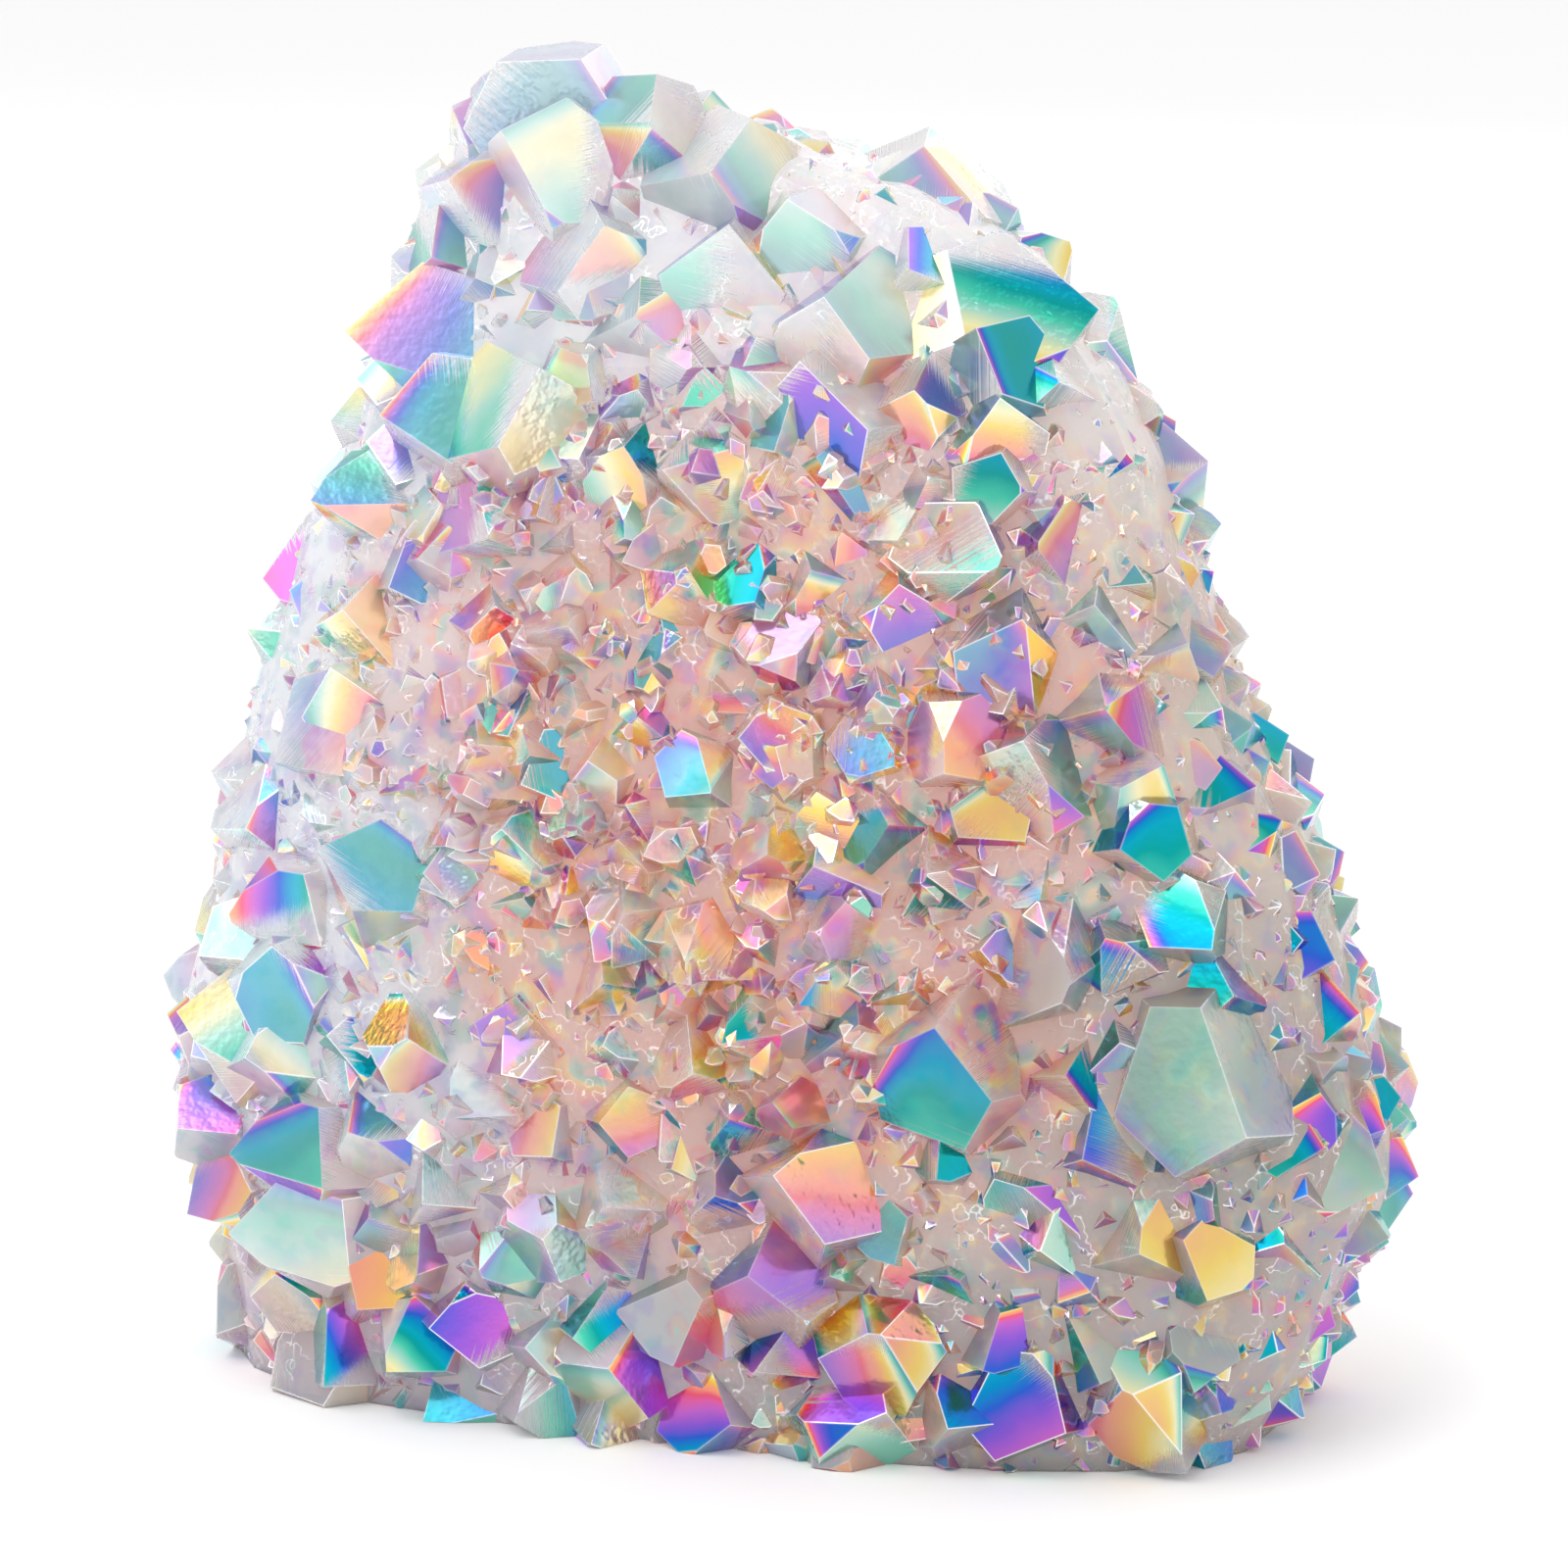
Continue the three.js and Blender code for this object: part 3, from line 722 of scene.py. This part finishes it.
@dataclass(frozen=True)
class AuraQuartz:
    """The finish of the crystals: milky quartz under a thin film of metal."""

    film_colours: tuple = (
        (0.00, paint(164, 222, 204)), (0.07, paint(72, 206, 176)), (0.14, paint(0, 164, 158)),
        (0.20, paint(0, 168, 192)), (0.28, paint(0, 138, 198)), (0.34, paint(44, 92, 204)),
        (0.42, paint(136, 88, 208)), (0.51, paint(194, 100, 198)), (0.57, paint(222, 98, 168)),
        (0.61, paint(232, 88, 116)), (0.66, paint(246, 150, 128)), (0.74, paint(248, 176, 98)),
        (0.82, paint(248, 214, 70)),
        (0.91, paint(250, 244, 184)), (1.00, paint(164, 222, 204)),
    )
    rose: tuple = paint(222, 170, 160)
    # painted light: the lighter left side, with a pale violet tint of its own
    lit_lavender: tuple = paint(236, 245, 255)
    stone: tuple = paint(206, 193, 180)
    # painted shade: darker low down on the right
    shade_slate: tuple = paint(160, 153, 144)
    # near the base: a violet-grey tint that is partly painted shade low down
    low_shade_mauve: tuple = paint(198, 174, 182)
    # painted shade in the valleys, a warm brown
    valley_shade_tan: tuple = paint(232, 182, 152)
    # white of frosted points and crystals, and also painted light on the crown
    frost_and_crown_light: tuple = paint(249, 251, 255)
    # white of the pastel film, and of the painted highlight lines along edges and cracks
    highlight_and_pastel_white: tuple = paint(252, 250, 250)
    # painted shade: darkens the film on the right
    right_shade_ink: tuple = paint(10, 44, 84)
    # the rosy middle's place and half size in x and z, in metres
    middle_place: tuple[float, float] = (0.004, 0.053)
    middle_size: tuple[float, float] = (0.035, 0.048)
    # waves a metre of the noises, from the slowest to the finest
    drift_waves: float = 45.0
    haze_waves: float = 150.0
    cloud_waves: float = 160.0
    crack_waves: float = 380.0
    wisp_waves: float = 420.0
    grain_waves: float = 1300.0

    def body(self, n: Nodes, place: bpy.types.NodeSocket) -> bpy.types.NodeSocket:
        """Works out the milky quartz's colour over the piece, with painted light and shade in it.

        It is pale violet and lighter on the left, as painted light from the upper left, and greyer
        towards the right and darker low down, as painted shade. Near the base it turns violet-grey,
        in part painted shade. It is rose in the middle, fainter on the back. It has hazy wisps of
        the film's colours, brownish valleys painted as shade, frosted points and some frosted
        crystals, and it whitens towards the crown as painted light from above.

        Args:
            n: the material.
            place: where the point is.

        Returns:
            The colour.
        """
        lift, grain, _ = n.read("growth")
        split = n.add("SeparateXYZ", {0: place})
        x, y, z = split.outputs
        drift = n.less(n.noise(place, self.drift_waves, 3.0), 0.5)
        across = n.plus(x, n.times(drift, 0.05))
        # painted light and shade: lighter and pale violet on the left, greyer towards the right,
        # darker low down
        right = n.step(across, -0.045, 0.035)
        shaded_grey = n.blend(n.step(z, 0.030, 0.060), self.shade_slate, self.stone)
        plain = n.blend(right, self.lit_lavender, shaded_grey)
        dx, dz = (
            n.math("DIVIDE", n.less(value, at), size)
            for value, at, size in zip((across, z), self.middle_place, self.middle_size)
        )
        front = n.plus(0.45, n.times(n.step(y, 0.020, -0.010), 0.55))
        middle = n.times(n.step(n.plus(n.times(dx, dx), n.times(dz, dz)), 1.1, 0.1), front)
        # partly painted shade: violet-grey near the base, weaker on the right
        foot = n.times(n.step(z, 0.042, 0.005), n.less(0.8, n.times(right, 0.5)))
        plain = n.blend(foot, plain, self.low_shade_mauve)
        colour = n.blend(middle, plain, self.rose)
        reach = n.plus(n.times(middle, 0.45), n.step(x, -0.01, 0.03), 0.5)
        haze = n.math("FRACT", n.times(n.noise(place, self.haze_waves), 3.5))
        hue = n.times(haze, n.math("MINIMUM", reach, 1.0))
        torn = n.step(n.noise(place, self.wisp_waves), 0.45, 0.62)
        wisp = n.times(torn, n.plus(0.3, n.times(middle, 0.5)))
        colour = n.blend(wisp, colour, n.colours(hue, self.film_colours))
        # painted shade: low places between crystals turn warm brown, more in the middle
        depth = n.times(n.step(lift, 0.5, -0.6), n.plus(0.3, n.times(middle, 0.4)))
        colour = n.blend(depth, colour, self.valley_shade_tan)
        # frosted points and some frosted crystals; the height step whitens the crown as painted
        # light from above
        frost_and_crown_light_steps = ((lift, 0.4, 1.1, 0.25), (z, 0.072, 0.098, 0.6), (grain, 0.4, 1.0, 0.2))
        for value, low, high, share in frost_and_crown_light_steps:
            colour = n.blend(n.times(n.step(value, low, high), share), colour, self.frost_and_crown_light)
        return colour

    def film(
        self,
        n: Nodes,
        place: bpy.types.NodeSocket,
        rim: bpy.types.NodeSocket,
        cloud: bpy.types.NodeSocket,
    ) -> tuple:
        """Works out the film: its colour and how thickly it lies.

        Its phase is the facet's own, which runs in a straight slope over the facet, and turns
        faster close to one of its edges. It lies in patches with torn borders. On the right its
        colour is pulled a little towards a deep blue, as painted shade.

        Args:
            n: the material.
            place: where the point is.
            rim: distance from that edge, over the crystal's radius.
            cloud: a slow noise about 0.5, which lets the phase wander.

        Returns:
            The colour and the share of it.
        """
        phase, cover, _ = n.read("film")
        strength, turning, _ = n.read("hue")
        edge = n.math("EXPONENT", n.times(rim, -7.0))
        wander = n.times(n.less(cloud, 0.5), 0.14)
        turned = n.math("FRACT", n.plus(phase, wander, n.times(edge, turning)))
        streak = n.add("TexNoise", {"W": n.times(phase, 60.0)}, noise_dimensions="1D").outputs[0]
        ragged = n.plus(cover, n.times(n.less(streak, 0.5), 0.5))
        share = n.times(n.step(ragged, 0.3, 0.55), strength)
        pastel = n.times(n.less(1.0, strength), 0.4)
        tint = n.blend(pastel, n.colours(turned, self.film_colours), self.highlight_and_pastel_white)
        # painted shade: the film is pulled towards a deep blue on the right
        x = n.add("SeparateXYZ", {0: place}).outputs[0]
        return n.blend(n.times(n.step(x, 0.005, 0.035), 0.15), tint, self.right_shade_ink), share

    def make(self) -> bpy.types.Material:
        """Builds the material.

        Thin bright lines of white metal, painted highlights, run along the edges of the facets, and
        along a
        few cracks where the film is missing: a crack is where a noise comes close to its middle
        value.

        Returns:
            The material.
        """
        n = Nodes("aura_quartz")
        place = n.add("TexCoord").outputs["Object"]
        near = None
        for name in ("ridge_a", "ridge_b"):
            for distance in n.read(name):
                near = distance if near is None else n.math("MINIMUM", near, distance)
        _, grain, rim = n.read("growth")
        # painted highlights: thin white metal lines along the facets' edges
        line = n.times(n.step(near, 0.15, 0.03), n.plus(0.2, n.times(n.step(grain, 0.5, 0.6), 0.6)))
        cloud = n.noise(place, self.cloud_waves)
        tint, share = self.film(n, place, rim, cloud)
        colour = n.blend(share, self.body(n, place), tint)
        patch = n.step(cloud, 0.45, 0.55)
        crack = n.math("ABSOLUTE", n.less(n.noise(place, self.crack_waves), 0.5))
        bare = n.step(share, 0.3, 0.1)
        # more painted highlights along cracks where the film is bare
        line = n.math("MAXIMUM", line, n.times(n.step(crack, 0.012, 0.003), patch, bare, 0.55))
        colour = n.blend(line, colour, self.highlight_and_pastel_white)
        share = n.math("MAXIMUM", share, line)
        clear = n.read("film")[2]
        crazed = n.times(n.step(grain, 0.8, 0.9), patch)
        strength = n.plus(0.06, n.times(crazed, 0.5))
        pits = n.noise(place, self.grain_waves, 1.0)
        bump = n.add("Bump", {"Height": pits, "Strength": strength, "Distance": 0.0004})
        surface = n.add(
            "BsdfPrincipled",
            {
                "Base Color": colour,
                "Metallic": share,
                "Roughness": n.less(0.28, n.times(share, 0.12)),
                "IOR": 1.54,
                "Transmission Weight": n.plus(n.times(clear, 0.2), 0.3),
                "Subsurface Weight": 0.8,
                "Subsurface Radius": (1.0, 0.75, 0.65),
                "Subsurface Scale": 0.012,
                "Coat Weight": 0.1,
                "Coat Roughness": 0.05,
                "Coat IOR": 1.5,
                "Normal": bump.outputs[0],
            },
        )
        n.add("OutputMaterial", {0: surface.outputs[0]})
        return n.material


@dataclass
class Cluster:
    """The whole cluster: slab and crystals grown together and sawn off flat at height 0."""

    slab: Slab
    growth: Growth
    finish: AuraQuartz
    saw_width: float = 200
    saw_height: float = 40
    film_seed: int = 5
    # how often a facet has a strong film, and how much more often at some places
    filmed: float = 0.63
    right_filmed: float = 0.1
    corner_filmed: float = 0.2
    high_filmed: float = 0.1
    high: float = 70
    # where the film fades at the crown, and over how much height
    crown: float = 85
    crown_fade: float = 15
    # how strong the film is, from 0 to 1
    strong: tuple[float, float] = (0.65, 1)
    weak: tuple[float, float] = (0.15, 0.65)
    crown_loss: float = 0.15
    corner_gain: float = 0.7
    flat_strength: float = 0.6
    flat_gain: float = 0.35
    fine_strength: float = 0.85
    # the chief crystals' film on the two faces that look out most
    deep_tones: tuple[Tone, ...] = (Tone.TEAL, Tone.BLUE, Tone.VIOLET)
    pale_tones: tuple[Tone, ...] = (Tone.MINT, Tone.CREAM)
    chief_strength: float = 0.7
    chief_gain: float = 0.15
    chief_loss: float = 0.1
    pale_strength: float = 0.6
    clear_share: float = 0.4
    chief_cover: float = 0.75
    # the fine crystals' phase, which mostly drifts in slow waves over the cluster
    drifting: float = 0.7
    haze: float = 0.58
    haze_swing: float = 0.28
    # how much of a facet is covered, and by how much the phase turns at one edge
    cover: tuple[float, float] = (0.3, 0.95)
    turned: tuple[float, float] = (0.25, 0.6)
    chief_turned: tuple[float, float] = (0.3, 0.6)
    chief_banded: float = 0.8
    phase_steepness: tuple[float, float] = (0.05, 0.4)
    cover_steepness: tuple[float, float] = (0.2, 1.2)
    # how often each tone comes in the middle, on the left, on the right and at the foot
    tone_mixes: tuple[tuple[float, ...], ...] = (
        (1.5, 3.5, 0.5, 2.5, 4, 1.5, 2.5, 4.5, 0.8),
        (2.5, 5, 1.5, 3.5, 2.5, 1, 0.6, 1, 2),
        (1.5, 9, 2.5, 1.5, 0.8, 0.4, 0.4, 0.8, 0.5),
        (1, 5, 2, 1.6, 2, 1, 1, 2.6, 0.9),
    )

    def saw_block(self) -> bpy.types.Mesh:
        """Returns the block that the cut takes away, its top at height 0."""
        half = self.saw_width / 2
        signs = np.array([(x, y, z) for x in (-1, 1) for y in (-1, 1) for z in (-1, 0)], float)
        points = signs * (half, half, self.saw_height)
        corners = np.array([
            (0, 1, 3), (0, 3, 2), (4, 6, 7), (4, 7, 5), (0, 4, 5), (0, 5, 1),
            (2, 3, 7), (2, 7, 6), (0, 2, 6), (0, 6, 4), (1, 5, 7), (1, 7, 3),
        ])
        return Faces.triangles(points, corners, Facet.SAWN).mesh("saw_block")

    def joined(self, crystals: Crystals) -> bpy.types.Mesh:
        """Joins the slab with every crystal, and takes the saw's block away.

        Args:
            crystals: the crystals.

        Returns:
            One closed mesh whose faces keep their facet numbers.
        """
        bench = bpy.data.collections.new("bench")
        bpy.context.scene.collection.children.link(bench)
        crystals.into(bench)
        body = link(self.slab.faces().mesh("slab"))
        block = link(self.saw_block())
        union = body.modifiers.new("grown", "BOOLEAN")
        union.operation, union.solver, union.operand_type = "UNION", "MANIFOLD", "COLLECTION"
        union.collection = bench
        cut = body.modifiers.new("sawn", "BOOLEAN")
        cut.operation, cut.solver, cut.object = "DIFFERENCE", "MANIFOLD", block
        graph = bpy.context.evaluated_depsgraph_get()
        whole = bpy.data.meshes.new_from_object(body.evaluated_get(graph))
        for thing in [*bench.objects, body, block]:
            spent = thing.data
            bpy.data.objects.remove(thing)
            bpy.data.meshes.remove(spent)
        bpy.data.collections.remove(bench)
        return whole

    def film(self, crystals: Crystals) -> dict[str, np.ndarray]:
        """Draws the film of every facet.

        The phase and the cover each run in a straight slope over a facet, along a direction of
        their own: the value at the crystal's foot, and the change a millimetre. Four places on
        the cluster each have their own mix of tones.

        Args:
            crystals: the crystals.

        Returns:
            Arrays with a row for each facet.
        """
        rng = np.random.default_rng(self.film_seed)
        count, planes = len(crystals.radius), Crystals.PLANES
        shape = (count, planes)
        tones = np.array([tone.value for tone in Tone])
        shares = self.place_shares(crystals.foot)
        mix = np.cumsum(shares @ np.array(self.tone_mixes), axis=1)
        mix /= mix[:, -1:]
        own = tones[np.sum(mix < rng.random((count, 1)), axis=1)][:, None]
        other = tones[np.sum(mix[:, None] < rng.random((*shape, 1)), axis=2)]
        phase = np.where(rng.random(shape) < 0.5, other, own) + rng.normal(0, 0.03, shape)
        fine = slice(len(CHIEF) + self.growth.lessers, None)
        drift = rng.random(shape)[fine] < self.drifting
        hazy = self.haze + self.haze_swing * self.swell(crystals.foot[fine])[:, None]
        phase[fine] = np.where(drift, hazy + rng.normal(0, 0.04, drift.shape), phase[fine])
        left, right, foot = shares[:, 1:2], shares[:, 2:3], shares[:, 3:]
        height = crystals.foot[:, 2:]
        corner = foot * np.clip(crystals.foot[:, :1] / 20, 0, 1)
        crown = np.clip((height - self.crown) / self.crown_fade, 0, 1) * (1 - right)
        often = self.filmed + self.right_filmed * right + self.corner_filmed * corner
        often = often + self.high_filmed * (height > self.high)
        strong = rng.random(shape) < often
        weak = rng.uniform(*self.weak, shape)
        bright = rng.uniform(*self.strong, shape)
        bright = bright + self.corner_gain * corner * (1 - bright)
        strength = np.where(strong, bright, weak) * (1 - self.crown_loss * crown)
        flats = slice(0, Crystals.FLATS)
        strength[:, flats] *= self.flat_strength + self.flat_gain * np.maximum(corner, right / 2)
        strength[fine] *= self.fine_strength
        start = rng.uniform(*self.cover, shape) - 0.1 * left + 0.2 * corner
        looks = crystals.normal[:, Crystals.SLOPES] @ toward(EYE_TURN, EYE_RAISE)
        order = Crystals.FLATS + np.argsort(-looks, axis=1)
        gain = self.chief_gain
        vivid = self.chief_strength + gain * shares[:, 2:].sum(axis=1)
        vivid = vivid - self.chief_loss * crown[:, 0]
        for row, (_, _, _, *pair) in enumerate(CHIEF):
            if pair[0] in self.pale_tones:
                strength[row] *= self.clear_share
            for rank, tone in enumerate(pair):
                facet = (row, order[row, rank])
                phase[facet], start[facet] = tone.value, self.chief_cover
                strength[facet] = vivid[row] + gain * (tone in self.deep_tones)
                if tone in self.pale_tones:
                    strength[facet] = self.pale_strength
        banded = rng.random(shape) < 0.5 + 0.4 * right + 0.3 * corner
        turning = np.where(banded, rng.uniform(*self.turned, shape), 0)
        chief = slice(0, len(CHIEF))
        bands = rng.uniform(*self.chief_turned, shape)[chief]
        turning[chief] = np.where(rng.random(shape)[chief] < self.chief_banded, bands, 0)
        size = crystals.radius[:, None]

        def sloping(least: float, most: float) -> np.ndarray:
            """Returns a direction along each facet, as long as its change a millimetre."""
            along = unit(np.cross(crystals.normal, rng.normal(0, 1, (count, planes, 3))))
            steep = least * (most / least) ** rng.random(shape)
            return (along * (steep / size)[..., None]).reshape(-1, 3)

        return {
            "phase": phase.ravel(),
            "phase_slope": sloping(*self.phase_steepness),
            "cover": start.ravel(),
            "cover_slope": sloping(*self.cover_steepness),
            "strength": strength.ravel(),
            "turning": turning.ravel(),
            "clear": rng.uniform(0.1, 1, shape).ravel(),
            "grain": rng.random(shape).ravel(),
            "edge": rng.integers(0, 3, shape).ravel(),
        }

    @staticmethod
    def swell(feet: np.ndarray) -> np.ndarray:
        """Returns a slow wave over the cluster from -1 to 1, the mean of three sines."""
        waves = np.array([(0.31, 0.10, 0.22), (-0.17, 0.26, 0.35), (0.12, -0.21, -0.42)])
        return np.sin(feet @ waves.T + (0.4, 2.1, 4.4)).mean(axis=1)

    def place_shares(self, feet: np.ndarray) -> np.ndarray:
        """Returns how far each foot belongs to the middle, the left, the right and the foot."""
        middle = np.where(feet[:, 1] > 0, 0, 1 - self.growth.away(feet))
        right = np.clip((feet[:, 0] + 10) / 35, 0, 1)
        low = np.clip((30 - feet[:, 2]) / 20, 0, 1)
        rest = 1 - middle
        return np.stack(
            [middle, rest * (1 - low) * (1 - right), rest * (1 - low) * right, rest * low], axis=1
        )

    def dress(self, mesh: bpy.types.Mesh, crystals: Crystals) -> None:
        """Writes the attributes that the finish reads, on every corner of the mesh.

        A corner's distance from an edge is its product with the edge's inward direction less
        the edge's own, which is exact all over the facet because it is linear.
        """
        film = self.film(crystals)
        facet = np.empty(len(mesh.polygons), np.int32)
        mesh.attributes["facet"].data.foreach_get("value", facet)
        total = np.empty(len(mesh.polygons), np.int32)
        mesh.polygons.foreach_get("loop_total", total)
        corner = np.empty(len(mesh.loops), np.int32)
        mesh.loops.foreach_get("vertex_index", corner)
        places = np.empty(len(mesh.vertices) * 3, np.float32)
        mesh.vertices.foreach_get("co", places)
        place = places.reshape(-1, 3)[corner].astype(float) / MM
        number = np.repeat(facet, total)
        grown = number >= 0
        index = np.where(grown, number, 0)
        owner = index // Crystals.PLANES
        radius = crystals.radius[owner]
        lines = crystals.edges[index]
        distance = np.einsum("nkj,nj->nk", lines[..., :3], place) - lines[..., 3]
        distance[~grown] = Crystals.FAR
        spoke = place - crystals.foot[owner]
        lift = np.sum(spoke * crystals.axis[owner], axis=1) / radius
        phase = film["phase"][index] + np.sum(spoke * film["phase_slope"][index], axis=1)
        cover = film["cover"][index] + np.sum(spoke * film["cover_slope"][index], axis=1)
        rim = distance[np.arange(len(index)), film["edge"][index]] / radius
        strength = np.where(grown, film["strength"][index], 0.0)
        clear = np.where(grown, film["clear"][index], 0.0)
        values = {
            "ridge_a": distance[:, :3],
            "ridge_b": distance[:, 3:],
            "film": np.stack([phase, cover, clear], axis=-1),
            "hue": np.stack([strength, film["turning"][index], np.zeros_like(rim)], axis=-1),
            "growth": np.stack([np.where(grown, lift, 0), film["grain"][index], rim], axis=-1),
        }
        for name, array in values.items():
            layer = mesh.attributes.new(name, "FLOAT_VECTOR", "CORNER")
            layer.data.foreach_set("vector", array.astype(np.float32).ravel())

    def build(self) -> bpy.types.Object:
        """Builds and dresses the cluster, which stands for the solid of the same name."""
        self.growth.chief()
        grown = self.joined(self.growth.lesser())
        crystals = self.growth.fine(grown)
        lessers = self.growth.lessers
        fines = len(crystals.radius) - len(CHIEF) - lessers
        log.info("%d chief, %d lesser and %d fine crystals", len(CHIEF), lessers, fines)
        mesh = self.joined(crystals)
        mesh.name = "aura_quartz_cluster"
        self.dress(mesh, crystals)
        mesh.materials.clear()
        mesh.materials.append(self.finish.make())
        mesh.polygons.foreach_set("material_index", np.zeros(len(mesh.polygons), np.int32))
        mesh.shade_flat()
        piece = link(mesh)
        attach(piece, "root")
        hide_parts("crystal_cluster")
        mesh.calc_loop_triangles()
        log.info("%s: %d triangles", piece.name, len(mesh.loop_triangles))
        return piece


@dataclass
class Studio:
    """A plain pale floor, soft light, and the camera."""

    distance: float = 0.480
    lens: float = 127.0
    floor_radius: float = 6.0
    floor_gap: float = 0.00005
    floor_sides: int = 96
    paleness: float = 0.97
    lamp_distance: float = 0.9
    lamp_target: float = 0.05

    def aim(self, thing: bpy.types.Object, place: np.ndarray, target: np.ndarray) -> None:
        """Puts a camera or a lamp at a place, looking at a target."""
        thing.location = place
        thing.rotation_euler = Vector(target - place).to_track_quat("-Z", "Y").to_euler()

    def camera(self) -> None:
        """Makes the camera and sets it as the scene's."""
        data = bpy.data.cameras.new("camera")
        data.lens = self.lens
        data.clip_end = 50
        thing = bpy.data.objects.new("camera", data)
        bpy.context.scene.collection.objects.link(thing)
        target = np.array([0, 0, EYE_HEIGHT * MM])
        self.aim(thing, target + self.distance * toward(EYE_TURN, EYE_RAISE), target)
        bpy.context.scene.camera = thing

    def floor(self) -> None:
        """Makes the floor, a wide disc just under the base."""
        sides, pale = self.floor_sides, self.paleness
        turn = np.arange(sides) * 2 * math.pi / sides
        rim = np.stack([np.cos(turn), np.sin(turn), np.zeros(sides)], 1) * self.floor_radius
        mesh = bpy.data.meshes.new("floor")
        mesh.from_pydata((rim - (0, 0, self.floor_gap)).tolist(), [], [list(range(sides))])
        n = Nodes("floor")
        surface = n.add("BsdfPrincipled", {"Base Color": (pale, pale, pale, 1), "Roughness": 0.9})
        n.add("OutputMaterial", {0: surface.outputs[0]})
        mesh.materials.append(n.material)
        link(mesh)

    def lamp(self, name: str, turn: float, rise: float, size: float, power: float) -> None:
        """Makes a square soft light that looks at the piece.

        Args:
            name: the lamp's name.
            turn: degrees round from the front, to the right.
            rise: degrees up.
            size: the square's side, in metres.
            power: watts.
        """
        data = bpy.data.lights.new(name, "AREA")
        data.size, data.energy = size, power
        thing = bpy.data.objects.new(name, data)
        bpy.context.scene.collection.objects.link(thing)
        target = np.array([0, 0, self.lamp_target])
        away = self.lamp_distance * toward(math.radians(turn), math.radians(rise))
        self.aim(thing, target + away, target)

    def light(self) -> None:
        """Makes the soft lamps and the pale surroundings."""
        self.lamp("key", -45, 50, 0.9, 3.2)
        self.lamp("glint", -10, 60, 0.25, 0.5)
        self.lamp("fill", 65, 25, 0.9, 0.6)
        self.lamp("back", 170, 40, 0.9, 1.8)
        world = bpy.data.worlds.new("studio")
        world.use_nodes = True
        background = world.node_tree.nodes["Background"]
        background.inputs[0].default_value = (1, 1, 1, 1)
        background.inputs[1].default_value = self.paleness
        bpy.context.scene.world = world
        bpy.context.scene.view_settings.view_transform = "Standard"


def main() -> None:
    """Builds the cluster and its studio."""
    logging.basicConfig(level=logging.INFO, format="%(name)s: %(message)s")
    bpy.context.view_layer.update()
    slab = Slab()
    Cluster(slab, Growth(slab), AuraQuartz()).build()
    studio = Studio()
    studio.camera()
    studio.floor()
    studio.light()


if __name__ == "__main__":
    main()
